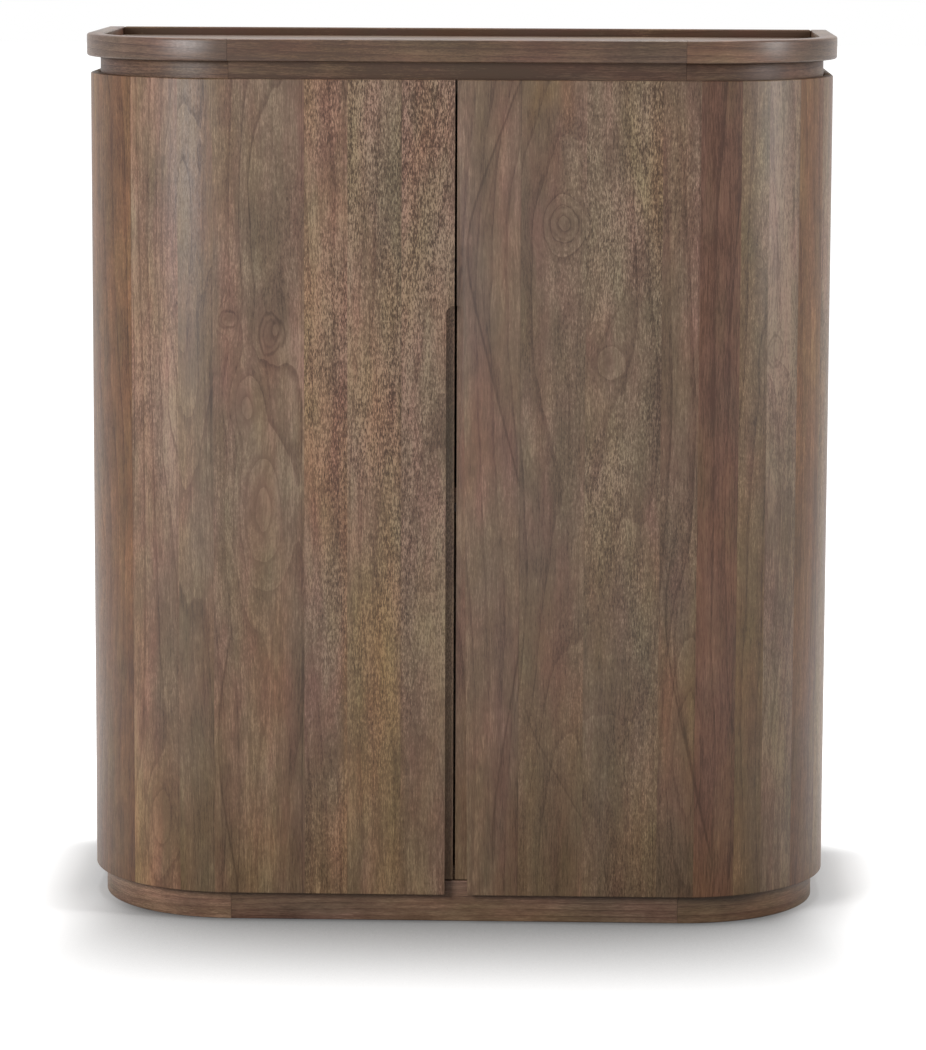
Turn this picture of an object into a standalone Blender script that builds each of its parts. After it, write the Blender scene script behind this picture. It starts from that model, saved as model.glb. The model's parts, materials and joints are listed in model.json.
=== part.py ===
"""A two-door bar cabinet in solid wood, D-shaped in plan, with a tray top.

Metres, +Z up, origin on the floor under the middle of the cabinet.
The front faces -Y, and the right-hand side is +X.
The rim, neck and plinth are rings of rails and curved corner blocks, and the two doors
wrap round the front corners and hang on concealed hinges in their rear edges.
"""

import math

import bmesh
import bpy
from mathutils import Matrix, Vector

# Overall size
WIDTH = 1.000
DEPTH = 0.440
HEIGHT = 1.165
CORNER_RADIUS = 0.204

# The clearance between fixed parts, and how finely curves are drawn
FIT = 0.0003
WELD = 0.00001
CORNER_STEPS = 28

# Rim and tray floor
RIM_HEIGHT = 0.0295
RIM_WIDTH = 0.0230
RIM_ROUND = 0.0030
RIM_INNER_ROUND = 0.0020
TRAY_DROP = 0.0105

# Neck under the rim
NECK_SHOWS = 0.0223
NECK_INSET = 0.0180
NECK_WIDTH = 0.0240

# Plinth
DOOR_LIFT = 0.0380
PLINTH_INSET = 0.0190
PLINTH_WIDTH = 0.0240
PLINTH_ROUND = 0.0015

# Doors and side panels, each with a lap over the neck and over the plinth
SKIN_INSET = 0.0050
LAP_HEIGHT = 0.0170
LAP_THICKNESS = 0.0115
DOOR_THICKNESS = 0.0185
SIDE_THICKNESS = 0.0200
DOOR_GAP = 0.0030
DOOR_ROUND = 0.0015
DOOR_FREE = 0.0020
HINGE_GAP = 0.0016
HINGE_SETBACK = 0.0030

# Finger pull routed along the meeting edges, wider at the foot of the right door
PULL_TOP = 0.8210
PULL_DEPTH = 0.0118
PULL_LEFT_WIDTH = 0.0107
PULL_RIGHT_WIDTH = 0.0088
PULL_RIGHT_FOOT = 0.0167
PULL_EDGE_ROUND = 0.0030
PULL_STEPS = 6
PULL_OVERRUN = 0.0100

# Boards and inner fittings
BACK_THICKNESS = 0.0120
BOARD_THICKNESS = 0.0180
BOARD_ROUND = 0.0015
PANEL_ROUND = 0.0010
SHELF_THICKNESS = 0.0200
SHELF_LEVEL = 0.5600
DIVIDER_THICKNESS = 0.0180
DIVIDER_SETBACK = 0.0320
LOWER_SHELF_LEVEL = 0.3150
CLEAT_WIDTH = 0.0180
CLEAT_HEIGHT = 0.0220
CLEAT_LENGTH = 0.1800

# Bottle rack of scalloped rails
BOTTLES = 4
BOTTLE_RADIUS = 0.0390
NECK_RADIUS = 0.0170
BOTTLE_DEPTH = 0.0250
BOTTLE_AXIS = 0.0600
RACK_THICKNESS = 0.0180
RACK_BACK_SPACE = 0.0450
RACK_SPREAD = 0.1620
RACK_TIERS = 2
RACK_TIER_RISE = 0.2050
SCALLOP_STEPS = 10

# Stemware rails under the tray
GLASS_RAILS = 4
GLASS_PITCH = 0.1000
GLASS_STEM_WIDTH = 0.0140
GLASS_FLANGE_WIDTH = 0.0740
GLASS_FLANGE_THICKNESS = 0.0080
GLASS_FOOT_CLEARANCE = 0.0130
GLASS_FRONT_SPACE = 0.0600
GLASS_BACK_SPACE = 0.0500

# Concealed hinges: two mortised cups and a curved link that turns between them
HINGE_END_SPACE = 0.0900
CUP_HEIGHT = 0.0620
CUP_SKIN = 0.0025
CUP_WIDTH = 0.0130
CUP_DEPTH = 0.0140
LINK_HEIGHT = 0.0380
LINK_INNER = 0.0075
LINK_OUTER = 0.0130
LINK_HALF_ANGLE = math.radians(60)
LINK_CLEARANCE = 0.0004
LINK_STEPS = 20
MORTISE_OVERRUN = 0.0020
CHANNEL_OVERRUN = 0.0500

# Magnetic catch and its strike plates
CATCH_LENGTH = 0.0520
CATCH_HEIGHT = 0.0130
CATCH_DEPTH = 0.0120
STRIKE_LENGTH = 0.0200
STRIKE_THICKNESS = 0.0012
STRIKE_OFFSET = 0.0060

# Levels and lines that follow from the sizes
FRONT = -DEPTH / 2
BACK = DEPTH / 2
CORNER_X = WIDTH / 2 - CORNER_RADIUS
CORNER_Y = FRONT + CORNER_RADIUS
RIM_BOTTOM = HEIGHT - RIM_HEIGHT
DOOR_TOP = RIM_BOTTOM - NECK_SHOWS
NECK_BOTTOM = DOOR_TOP - LAP_HEIGHT
PLINTH_TOP = DOOR_LIFT + LAP_HEIGHT
HINGE_X = WIDTH / 2 - SKIN_INSET
HINGE_Y = CORNER_Y + HINGE_SETBACK
SIDE_INNER_X = WIDTH / 2 - SKIN_INSET - SIDE_THICKNESS
BOARD_INSET = SKIN_INSET + SIDE_THICKNESS + FIT
BOARD_BACK = BACK - BACK_THICKNESS - FIT
BOTTOM_TOP = PLINTH_TOP + FIT + BOARD_THICKNESS
DIVIDER_X = DIVIDER_THICKNESS / 2
RACK_BACK_Y = BACK - RACK_BACK_SPACE
RACK_FRONT_Y = RACK_BACK_Y - RACK_SPREAD
GLASS_FRONT_Y = FRONT + GLASS_FRONT_SPACE
GLASS_BACK_Y = BACK - GLASS_BACK_SPACE
HINGE_LOW = PLINTH_TOP + HINGE_END_SPACE
HINGE_HIGH = NECK_BOTTOM - HINGE_END_SPACE
HINGE_LEVELS = (HINGE_LOW, (HINGE_LOW + HINGE_HIGH) / 2, HINGE_HIGH)

WOOD_TONES = {
    "outer": (0.150, 0.104, 0.074, 1.0),
    "band": (0.138, 0.094, 0.066, 1.0),
    "inner": (0.172, 0.120, 0.084, 1.0),
}


def clear_scene():
    """Remove what the file holds, so that the script can be run again."""
    for old in list(bpy.data.objects):
        bpy.data.objects.remove(old, do_unlink=True)
    for old in list(bpy.data.meshes):
        bpy.data.meshes.remove(old)


def new_collection(name):
    """A collection linked to the scene."""
    made = bpy.data.collections.new(name)
    bpy.context.scene.collection.children.link(made)
    return made


def finish_of(name, colour, roughness, metallic):
    """One Principled material for one part."""
    made = bpy.data.materials.new(name)
    made.use_nodes = True
    shader = made.node_tree.nodes["Principled BSDF"]
    shader.inputs["Base Color"].default_value = colour
    shader.inputs["Roughness"].default_value = roughness
    shader.inputs["Metallic"].default_value = metallic
    return made


def wood(name, tone):
    """The oiled wood of one part, in one of three tones."""
    return finish_of(name, WOOD_TONES[tone], 0.45, 0.0)


def steel(name):
    """Nickel-plated steel of one hinge or catch part."""
    return finish_of(name, (0.62, 0.60, 0.57, 1.0), 0.30, 1.0)


clear_scene()
CABINET = new_collection("bar_cabinet")
CUTTERS = new_collection("cutters")


def place(name, mesh, origin, material):
    """Make a part's object, with its origin moved to the point given."""
    mesh.transform(Matrix.Translation(-Vector(origin)))
    mesh.name = name
    made = bpy.data.objects.new(name, mesh)
    made.location = origin
    made.data.materials.clear()
    made.data.materials.append(material)
    CABINET.objects.link(made)
    made.data.shade_smooth()
    made.data.set_sharp_from_angle(angle=math.radians(25))
    return made


def cutter(name, mesh):
    """Make a cutter's object, which is hidden from renders."""
    made = bpy.data.objects.new(name, mesh)
    made.hide_render = True
    made.display_type = "WIRE"
    CUTTERS.objects.link(made)
    return made


def cut(part, tool):
    """Take the tool's shape out of the part."""
    step = part.modifiers.new("cut " + tool.name, "BOOLEAN")
    step.operation = "DIFFERENCE"
    step.solver = "EXACT"
    step.object = tool
    return step


def apply_all(part):
    """Replace the part's mesh with its evaluated one."""
    bpy.context.view_layer.update()
    graph = bpy.context.evaluated_depsgraph_get()
    mesh = bpy.data.meshes.new_from_object(part.evaluated_get(graph))
    part.modifiers.clear()
    part.data = mesh
    mesh.name = part.name


def mesh_from(bm):
    """Close a bmesh into a mesh, with its faces turned outwards."""
    bmesh.ops.recalc_face_normals(bm, faces=bm.faces)
    mesh = bpy.data.meshes.new("shape")
    bm.to_mesh(mesh)
    bm.free()
    return mesh


def rounded(corners, steps=3):
    """Outline through the corners (a, b, radius), with each radius as an arc."""
    outline = []
    count = len(corners)
    for index, (a, b, radius) in enumerate(corners):
        here = Vector((a, b))
        if radius == 0:
            outline.append(here)
            continue
        before = Vector(corners[index - 1][:2])
        after = Vector(corners[(index + 1) % count][:2])
        to_before = (before - here).normalized()
        to_after = (after - here).normalized()
        centre = here + (to_before + to_after) * radius
        for step in range(steps + 1):
            turn = math.pi / 2 * step / steps
            inward = to_after * math.cos(turn) + to_before * math.sin(turn)
            outline.append(centre - inward * radius)
    return outline


def start_sweep(section, start_x):
    """Stand a section (inset, level) up on the front line at start_x."""
    bm = bmesh.new()
    corners = [bm.verts.new((start_x, FRONT + inset, level)) for inset, level in section]
    bmesh.ops.contextual_create(bm, geom=corners)
    bm.faces.ensure_lookup_table()
    return bm, bm.faces[0]


def lead_on(bm, face):
    """Extrude the leading face, and return the new leading face and its corners."""
    inside = any(len(edge.link_faces) > 1 for edge in face.edges)
    made = bmesh.ops.extrude_face_region(bm, geom=[face])["geom"]
    verts = [item for item in made if isinstance(item, bmesh.types.BMVert)]
    leading = [item for item in made if isinstance(item, bmesh.types.BMFace)][0]
    if inside and face.is_valid:
        bmesh.ops.delete(bm, geom=[face], context="FACES_ONLY")
    return leading, verts


def run_on(bm, face, offset):
    """Extrude the leading face along a straight line."""
    leading, verts = lead_on(bm, face)
    bmesh.ops.translate(bm, verts=verts, vec=offset)
    return leading


def turn_on(bm, face, centre, angle, steps):
    """Turn the leading face about a vertical axis, step by step."""
    rotation = Matrix.Rotation(angle / steps, 3, "Z")
    for _ in range(steps):
        face, verts = lead_on(bm, face)
        bmesh.ops.rotate(bm, verts=verts, cent=centre, matrix=rotation)
    return face


CORNER_CENTRE = Vector((CORNER_X, CORNER_Y, 0))


def front_rail(section):
    """A straight rail across the front, between the corner blocks."""
    reach = CORNER_X - FIT
    bm, face = start_sweep(section, -reach)
    run_on(bm, face, (2 * reach, 0, 0))
    return mesh_from(bm)


def corner_block(section):
    """The curved block of the right front corner, a quarter turn of the section."""
    bm, face = start_sweep(section, CORNER_X)
    turn_on(bm, face, CORNER_CENTRE, math.pi / 2, CORNER_STEPS)
    return mesh_from(bm)


def side_rail(section, front_y, back_y):
    """A straight rail along the right side, from front_y to back_y."""
    bm, face = start_sweep(section, CORNER_X)
    bmesh.ops.rotate(bm, verts=bm.verts, cent=CORNER_CENTRE, matrix=Matrix.Rotation(math.pi / 2, 3, "Z"))
    bmesh.ops.translate(bm, verts=bm.verts, vec=(0, front_y - CORNER_Y, 0))
    run_on(bm, face, (0, back_y - front_y, 0))
    return mesh_from(bm)


def mirrored(mesh):
    """A left-hand copy of a right-hand mesh."""
    bm = bmesh.new()
    bm.from_mesh(mesh)
    bmesh.ops.transform(bm, matrix=Matrix.Scale(-1, 4, (1, 0, 0)), verts=bm.verts)
    bmesh.ops.reverse_faces(bm, faces=bm.faces)
    return mesh_from(bm)


def box_mesh(low, high):
    """A box between two corners."""
    low = Vector(low)
    high = Vector(high)
    bm = bmesh.new()
    bmesh.ops.create_cube(bm, size=1.0)
    bmesh.ops.scale(bm, vec=high - low, verts=bm.verts)
    bmesh.ops.translate(bm, vec=(low + high) / 2, verts=bm.verts)
    return mesh_from(bm)


def plate_mesh(outline, thickness):
    """A flat outline extruded about its own plane, with its caps welded on."""
    shape = bpy.data.curves.new("outline", "CURVE")
    shape.dimensions = "2D"
    shape.fill_mode = "BOTH"
    shape.extrude = thickness / 2
    spline = shape.splines.new("POLY")
    spline.points.add(len(outline) - 1)
    for point, (a, b) in zip(spline.points, outline):
        point.co = (a, b, 0, 1)
    spline.use_cyclic_u = True
    holder = bpy.data.objects.new("outline", shape)
    CUTTERS.objects.link(holder)
    bpy.context.view_layer.update()
    graph = bpy.context.evaluated_depsgraph_get()
    mesh = bpy.data.meshes.new_from_object(holder.evaluated_get(graph))
    bpy.data.objects.remove(holder, do_unlink=True)
    bm = bmesh.new()
    bm.from_mesh(mesh)
    bmesh.ops.remove_doubles(bm, verts=bm.verts, dist=WELD)
    return mesh_from(bm)


def soften(part, width, segments=2):
    """Round the part's edges a little."""
    step = part.modifiers.new("edges", "BEVEL")
    step.width = width
    step.segments = segments
    step.limit_method = "ANGLE"
    step.angle_limit = math.radians(40)


def quarter_arc(radius, steps):
    """Points of the right front corner, from the front line round to the side line."""
    points = []
    for step in range(steps + 1):
        turn = math.pi / 2 * step / steps
        points.append((CORNER_X + radius * math.sin(turn), CORNER_Y - radius * math.cos(turn)))
    return points


def d_outline(inset, back_y, left_x=None):
    """A D-shaped board outline at an inset, or only the part right of left_x."""
    right = quarter_arc(CORNER_RADIUS - inset, CORNER_STEPS)
    if left_x is None:
        left = [(-x, y) for x, y in reversed(right)]
        first_x = -(WIDTH / 2 - inset)
    else:
        left = [(left_x, FRONT + inset)]
        first_x = left_x
    return [(first_x, back_y)] + left + right + [(WIDTH / 2 - inset, back_y)]


def board(name, outline, bottom, thickness, material):
    """A D-shaped board lying at a level."""
    mesh = plate_mesh(outline, thickness)
    mesh.transform(Matrix.Translation((0, 0, bottom + thickness / 2)))
    made = place(name, mesh, (0, 0, bottom), material)
    soften(made, BOARD_ROUND)
    return made


def panel(name, low, high, material, edge=PANEL_ROUND):
    """A flat rectangular panel or rail between two corners."""
    made = place(name, box_mesh(low, high), [(a + b) / 2 for a, b in zip(low, high)], material)
    if edge > 0:
        soften(made, edge)
    return made


def pair(stem, mesh, origin, tone):
    """A right-hand piece and its mirrored left-hand twin."""
    right_x, y, z = origin
    twin = mirrored(mesh)
    place("right_" + stem, mesh, (right_x, y, z), wood("right_" + stem, tone))
    place("left_" + stem, twin, (-right_x, y, z), wood("left_" + stem, tone))


def ring(stem, section, level, tone):
    """The front rail, corner blocks and side rails of one ring."""
    inset = section[0][0]
    name = stem + "_front_rail"
    place(name, front_rail(section), (0, FRONT + inset, level), wood(name, tone))
    pair(stem + "_corner_block", corner_block(section), (CORNER_X, CORNER_Y, level), tone)
    side = side_rail(section, CORNER_Y + FIT, BACK)
    pair(stem + "_side_rail", side, (WIDTH / 2 - inset, CORNER_Y, level), tone)


def back_rail(stem, half_length, thickness, bottom, top, edge):
    """The straight rail that closes a ring at the back."""
    low = (-half_length, BACK - thickness, bottom)
    high = (half_length, BACK, top)
    panel(stem + "_back_rail", low, high, wood(stem + "_back_rail", "band"), edge)


def build_plinth():
    """The plinth ring, which stands on the floor."""
    inner = PLINTH_INSET + PLINTH_WIDTH
    section = rounded([
        (PLINTH_INSET, 0, PLINTH_ROUND),
        (PLINTH_INSET, PLINTH_TOP, PLINTH_ROUND),
        (inner, PLINTH_TOP, 0),
        (inner, 0, 0),
    ])
    ring("plinth", section, 0, "band")
    back_rail("plinth", WIDTH / 2 - inner - FIT, PLINTH_WIDTH, 0, PLINTH_TOP, PANEL_ROUND)


def build_neck():
    """The neck ring, on which the rim and the tray floor rest."""
    inner = NECK_INSET + NECK_WIDTH
    top = RIM_BOTTOM - FIT
    section = [(NECK_INSET, NECK_BOTTOM), (NECK_INSET, top), (inner, top), (inner, NECK_BOTTOM)]
    ring("neck", section, NECK_BOTTOM, "band")
    back_rail("neck", WIDTH / 2 - inner - FIT, NECK_WIDTH, NECK_BOTTOM, top, 0)


def build_rim():
    """The rim ring, which stands above the tray floor."""
    section = rounded([
        (0, RIM_BOTTOM, RIM_ROUND),
        (0, HEIGHT, RIM_ROUND),
        (RIM_WIDTH, HEIGHT, RIM_INNER_ROUND),
        (RIM_WIDTH, RIM_BOTTOM, 0),
    ], 4)
    ring("rim", section, RIM_BOTTOM, "outer")
    back_rail("rim", WIDTH / 2 - RIM_WIDTH - FIT, RIM_WIDTH, RIM_BOTTOM, HEIGHT, RIM_INNER_ROUND)


def build_boards():
    """The tray floor, the bottom board, the back panel and the shelves."""
    tray = d_outline(RIM_WIDTH + FIT, BACK - RIM_WIDTH - FIT)
    board("tray_floor", tray, RIM_BOTTOM, RIM_HEIGHT - TRAY_DROP, wood("tray_floor", "outer"))
    inside = d_outline(BOARD_INSET, BOARD_BACK)
    board("bottom_board", inside, PLINTH_TOP + FIT, BOARD_THICKNESS, wood("bottom_board", "inner"))
    board("middle_shelf", inside, SHELF_LEVEL, SHELF_THICKNESS, wood("middle_shelf", "inner"))
    half = d_outline(BOARD_INSET, BOARD_BACK, DIVIDER_X + FIT)
    board("lower_shelf", half, LOWER_SHELF_LEVEL, BOARD_THICKNESS, wood("lower_shelf", "inner"))
    low = (-(SIDE_INNER_X - FIT), BACK - BACK_THICKNESS, PLINTH_TOP + FIT)
    high = (SIDE_INNER_X - FIT, BACK, NECK_BOTTOM - FIT)
    panel("back_panel", low, high, wood("back_panel", "inner"), 0)


def build_inner_supports():
    """The divider under the middle shelf and the cleats of the lower shelf."""
    low = (-DIVIDER_X, FRONT + BOARD_INSET + DIVIDER_SETBACK, BOTTOM_TOP + FIT)
    high = (DIVIDER_X, BOARD_BACK, SHELF_LEVEL - FIT)
    panel("divider", low, high, wood("divider", "inner"))
    bottom = LOWER_SHELF_LEVEL - FIT - CLEAT_HEIGHT
    top = LOWER_SHELF_LEVEL - FIT
    near = DIVIDER_X + FIT
    far = SIDE_INNER_X - FIT
    front = BOARD_BACK - CLEAT_LENGTH
    panel("inner_shelf_cleat", (near, front, bottom), (near + CLEAT_WIDTH, BOARD_BACK, top),
          wood("inner_shelf_cleat", "inner"))
    panel("outer_shelf_cleat", (far - CLEAT_WIDTH, front, bottom), (far, BOARD_BACK, top),
          wood("outer_shelf_cleat", "inner"))


def rack_rail(name, middle_y, base, height, radius):
    """One rack rail, with a scallop for each bottle in its top edge."""
    left = -(SIDE_INNER_X - FIT)
    right = -(DIVIDER_X + FIT)
    pitch = (right - left) / BOTTLES
    drop = BOTTLE_AXIS - height
    spread = math.acos(drop / radius)
    outline = [(left, 0), (left, height)]
    for bottle in range(BOTTLES):
        centre = left + pitch * (bottle + 0.5)
        for step in range(SCALLOP_STEPS + 1):
            turn = spread - 2 * spread * step / SCALLOP_STEPS
            outline.append((centre - radius * math.sin(turn), BOTTLE_AXIS - radius * math.cos(turn)))
    outline += [(right, height), (right, 0)]
    mesh = plate_mesh(outline, RACK_THICKNESS)
    mesh.transform(Matrix.Rotation(math.pi / 2, 4, "X"))
    mesh.transform(Matrix.Translation((0, middle_y, base)))
    return place(name, mesh, ((left + right) / 2, middle_y, base), wood(name, "inner"))


def build_bottle_rack():
    """Two tiers of scalloped rails in the left-hand bay."""
    for tier in range(1, RACK_TIERS + 1):
        base = BOTTOM_TOP + FIT + RACK_TIER_RISE * (tier - 1)
        rack_rail(f"rack_front_rail_{tier}", RACK_FRONT_Y, base, BOTTLE_AXIS, NECK_RADIUS)
        back_height = BOTTLE_AXIS - BOTTLE_RADIUS + BOTTLE_DEPTH
        rack_rail(f"rack_back_rail_{tier}", RACK_BACK_Y, base, back_height, BOTTLE_RADIUS)


def build_glass_rails():
    """The T-shaped rails under the tray floor, which hold stemware by the foot."""
    top = RIM_BOTTOM - FIT
    shelf = NECK_BOTTOM - GLASS_FOOT_CLEARANCE
    low = shelf - GLASS_FLANGE_THICKNESS
    stem = GLASS_STEM_WIDTH / 2
    flange = GLASS_FLANGE_WIDTH / 2
    outline = [(-stem, top), (-stem, shelf), (-flange, shelf), (-flange, low),
               (flange, low), (flange, shelf), (stem, shelf), (stem, top)]
    length = GLASS_BACK_Y - GLASS_FRONT_Y
    middle_y = (GLASS_BACK_Y + GLASS_FRONT_Y) / 2
    for number in range(GLASS_RAILS):
        x = GLASS_PITCH * (number - (GLASS_RAILS - 1) / 2)
        mesh = plate_mesh(outline, length)
        mesh.transform(Matrix.Rotation(math.pi / 2, 4, "X"))
        mesh.transform(Matrix.Translation((x, middle_y, 0)))
        name = f"glass_rail_{number + 1}"
        made = place(name, mesh, (x, middle_y, top), wood(name, "inner"))
        soften(made, PANEL_ROUND, 1)


def skin_section(thickness, free):
    """The stepped section of a door or side panel: a lap at the top and at the foot."""
    lap = SKIN_INSET + LAP_THICKNESS
    inner = SKIN_INSET + thickness
    low = PLINTH_TOP + free
    high = NECK_BOTTOM - free
    return rounded([
        (SKIN_INSET, DOOR_LIFT, DOOR_ROUND),
        (SKIN_INSET, DOOR_TOP, DOOR_ROUND),
        (lap, DOOR_TOP, 0),
        (lap, high, 0),
        (inner, high, 0),
        (inner, low, 0),
        (lap, low, 0),
        (lap, DOOR_LIFT, 0),
    ])


def door_mesh():
    """The right door: flat from the meeting edge, then round the corner to the hinge gap."""
    section = skin_section(DOOR_THICKNESS, DOOR_FREE)
    bm, face = start_sweep(section, DOOR_GAP / 2)
    face = run_on(bm, face, (CORNER_X - DOOR_GAP / 2, 0, 0))
    face = turn_on(bm, face, CORNER_CENTRE, math.pi / 2, CORNER_STEPS)
    run_on(bm, face, (0, HINGE_SETBACK - HINGE_GAP / 2, 0))
    return mesh_from(bm)


def pull_cutter(name, side, top_width, foot_width):
    """The routed recess along one meeting edge, arched at its top."""
    edge = DOOR_GAP / 2
    radius = top_width
    foot = DOOR_LIFT - PULL_OVERRUN
    past = -PULL_OVERRUN
    outline = [(past, foot), (edge + foot_width, foot)]
    for step in range(PULL_STEPS + 1):
        turn = math.pi / 2 * step / PULL_STEPS
        outline.append((edge + top_width - radius + radius * math.cos(turn),
                        PULL_TOP - radius + radius * math.sin(turn)))
    outline.append((past, PULL_TOP))
    mesh = plate_mesh([(side * x, z) for x, z in outline], 2 * PULL_DEPTH)
    mesh.transform(Matrix.Rotation(math.pi / 2, 4, "X"))
    mesh.transform(Matrix.Translation((0, FRONT + SKIN_INSET, 0)))
    return cutter(name, mesh)


def weigh_edges(mesh, test):
    """Set each edge's bevel weight from a test on its two ends."""
    weights = mesh.attributes.new("bevel_weight_edge", "FLOAT", "EDGE")
    for edge in mesh.edges:
        ends = [mesh.vertices[index].co for index in edge.vertices]
        weights.data[edge.index].value = test(*ends)


def cup_low(level):
    """The lower end of a hinge's cups."""
    return level - CUP_HEIGHT / 2


def mortise(name, side, level, direction, edge_y):
    """The pocket in which one hinge cup sits."""
    x0 = side * (HINGE_X - CUP_SKIN + FIT)
    x1 = side * (HINGE_X - CUP_SKIN - CUP_WIDTH - FIT)
    y0 = edge_y - direction * MORTISE_OVERRUN
    y1 = edge_y + direction * (CUP_DEPTH + FIT)
    low = (min(x0, x1), min(y0, y1), cup_low(level) - FIT)
    high = (max(x0, x1), max(y0, y1), cup_low(level) + CUP_HEIGHT + FIT)
    return cutter(name, box_mesh(low, high))


def link_sector(clearance, first, last, steps):
    """A sector of a ring about the right door's hinge axis."""
    inner = LINK_INNER - clearance
    outer = LINK_OUTER + clearance
    half = LINK_HEIGHT / 2 + clearance
    bm = bmesh.new()
    corners = [bm.verts.new((-radius, 0, level)) for radius, level in
               ((inner, -half), (inner, half), (outer, half), (outer, -half))]
    bmesh.ops.contextual_create(bm, geom=corners)
    bm.faces.ensure_lookup_table()
    face = bm.faces[0]
    bmesh.ops.rotate(bm, verts=bm.verts, cent=(0, 0, 0), matrix=Matrix.Rotation(first, 3, "Z"))
    turn_on(bm, face, Vector((0, 0, 0)), last - first, steps)
    return mesh_from(bm)


def sided(mesh, side):
    """The mesh itself for the right side, or its mirror image for the left."""
    if side > 0:
        return mesh
    return mirrored(mesh)


def build_doors():
    """Both doors, each parented to an empty on its hinge axis."""
    for label, side in (("left", -1), ("right", 1)):
        name = label + "_door"
        door = place(name, sided(door_mesh(), side), (0, 0, 0), wood(name, "outer"))
        if side > 0:
            widths = (PULL_RIGHT_WIDTH, PULL_RIGHT_FOOT)
        else:
            widths = (PULL_LEFT_WIDTH, PULL_LEFT_WIDTH)
        cut(door, pull_cutter(label + "_pull", side, *widths))
        for number, level in enumerate(HINGE_LEVELS, 1):
            edge_y = HINGE_Y - HINGE_GAP / 2
            cut(door, mortise(f"{label}_door_mortise_{number}", side, level, -1, edge_y))
        apply_all(door)
        floor_y = FRONT + SKIN_INSET + PULL_DEPTH
        face_y = FRONT + SKIN_INSET
        edge_x = DOOR_GAP / 2

        def weight(a, b):
            """Rounds the meeting edge, in front and on the floor of the pull."""
            near = 2 * WELD
            on_edge = abs(abs(a.x) - edge_x) < near and abs(abs(b.x) - edge_x) < near
            if on_edge and abs(a.y - b.y) < near and abs(a.z - b.z) > DOOR_THICKNESS:
                if abs(a.y - floor_y) < near:
                    return 1.0
                if abs(a.y - face_y) < near:
                    return DOOR_ROUND / PULL_EDGE_ROUND
            return 0.0

        weigh_edges(door.data, weight)
        step = door.modifiers.new("edges", "BEVEL")
        step.width = PULL_EDGE_ROUND
        step.segments = 3
        step.limit_method = "WEIGHT"
        apply_all(door)
        axis = Vector((side * HINGE_X, HINGE_Y, 0))
        door.data.transform(Matrix.Translation(-axis))
        pivot = bpy.data.objects.new(label + "_door_axis", None)
        pivot.location = axis
        CABINET.objects.link(pivot)
        door.parent = pivot
        door.data.shade_smooth()
        door.data.set_sharp_from_angle(angle=math.radians(25))


def build_side_panels():
    """The side panels behind the doors, lapped over the neck and the plinth."""
    section = skin_section(SIDE_THICKNESS, FIT)
    front_y = HINGE_Y + HINGE_GAP / 2
    for label, side in (("left", -1), ("right", 1)):
        name = label + "_side_panel"
        mesh = sided(side_rail(section, front_y, BACK), side)
        part = place(name, mesh, (side * HINGE_X, front_y, DOOR_LIFT), wood(name, "outer"))
        for number, level in enumerate(HINGE_LEVELS, 1):
            cut(part, mortise(f"{label}_side_mortise_{number}", side, level, 1, front_y))


def build_hinges():
    """Three hinges a side: a cup in the panel, a cup in the door, a curved link between."""
    reach = LINK_HALF_ANGLE + CHANNEL_OVERRUN
    for label, side in (("left", -1), ("right", 1)):
        for number, level in enumerate(HINGE_LEVELS, 1):
            axis = Vector((side * HINGE_X, HINGE_Y, level))
            track = link_sector(LINK_CLEARANCE, -reach, reach, LINK_STEPS)
            track = sided(track, side)
            track.transform(Matrix.Translation(axis))
            channel = cutter(f"{label}_channel_{number}", track)
            for stem, direction in (("side_cup", 1), ("door_cup", -1)):
                edge_y = HINGE_Y + direction * HINGE_GAP / 2
                ends_x = sorted((side * (HINGE_X - CUP_SKIN), side * (HINGE_X - CUP_SKIN - CUP_WIDTH)))
                ends_y = sorted((edge_y, edge_y + direction * CUP_DEPTH))
                low = (ends_x[0], ends_y[0], cup_low(level))
                high = (ends_x[1], ends_y[1], cup_low(level) + CUP_HEIGHT)
                name = f"{label}_hinge_{stem}_{number}"
                cup = place(name, box_mesh(low, high), axis, steel(name))
                cut(cup, channel)
            link = sided(link_sector(0, -LINK_HALF_ANGLE, LINK_HALF_ANGLE, LINK_STEPS), side)
            link.transform(Matrix.Translation(axis))
            name = f"{label}_hinge_link_{number}"
            place(name, link, axis, steel(name))


def build_catch():
    """The twin magnetic catch under the middle shelf, and a strike plate on each door."""
    front = FRONT + SKIN_INSET + DOOR_THICKNESS + FIT
    face = front + STRIKE_THICKNESS + FIT
    top = SHELF_LEVEL - FIT
    low = (-CATCH_LENGTH / 2, face, top - CATCH_HEIGHT)
    high = (CATCH_LENGTH / 2, face + CATCH_DEPTH, top)
    dark = finish_of("magnetic_catch", (0.03, 0.02, 0.015, 1.0), 0.5, 0.0)
    panel("magnetic_catch", low, high, dark)
    for label, side in (("left", -1), ("right", 1)):
        ends = sorted((side * STRIKE_OFFSET, side * (STRIKE_OFFSET + STRIKE_LENGTH)))
        name = label + "_strike_plate"
        panel(name, (ends[0], front, top - CATCH_HEIGHT), (ends[1], front + STRIKE_THICKNESS, top),
              steel(name), 0)


build_plinth()
build_neck()
build_rim()
build_boards()
build_inner_supports()
build_bottle_rack()
build_glass_rails()
build_doors()
build_side_panels()
build_hinges()
build_catch()
bpy.context.view_layer.update()
print("parts:", len([item for item in CABINET.objects if item.type == "MESH"]))
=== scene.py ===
# %% [markdown]
# # A bar cabinet in solid wood
#
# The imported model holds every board, rail, block, door and hinge at its real size. This
# lesson dresses it: soft edges, wood that runs the right way in each piece, steel for the
# hinges, and a plain studio with the camera where the photograph was taken.

# %% Load the frame
import functools
import json
import math
import operator

import bmesh
import bpy
from mathutils import Matrix, Vector


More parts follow.
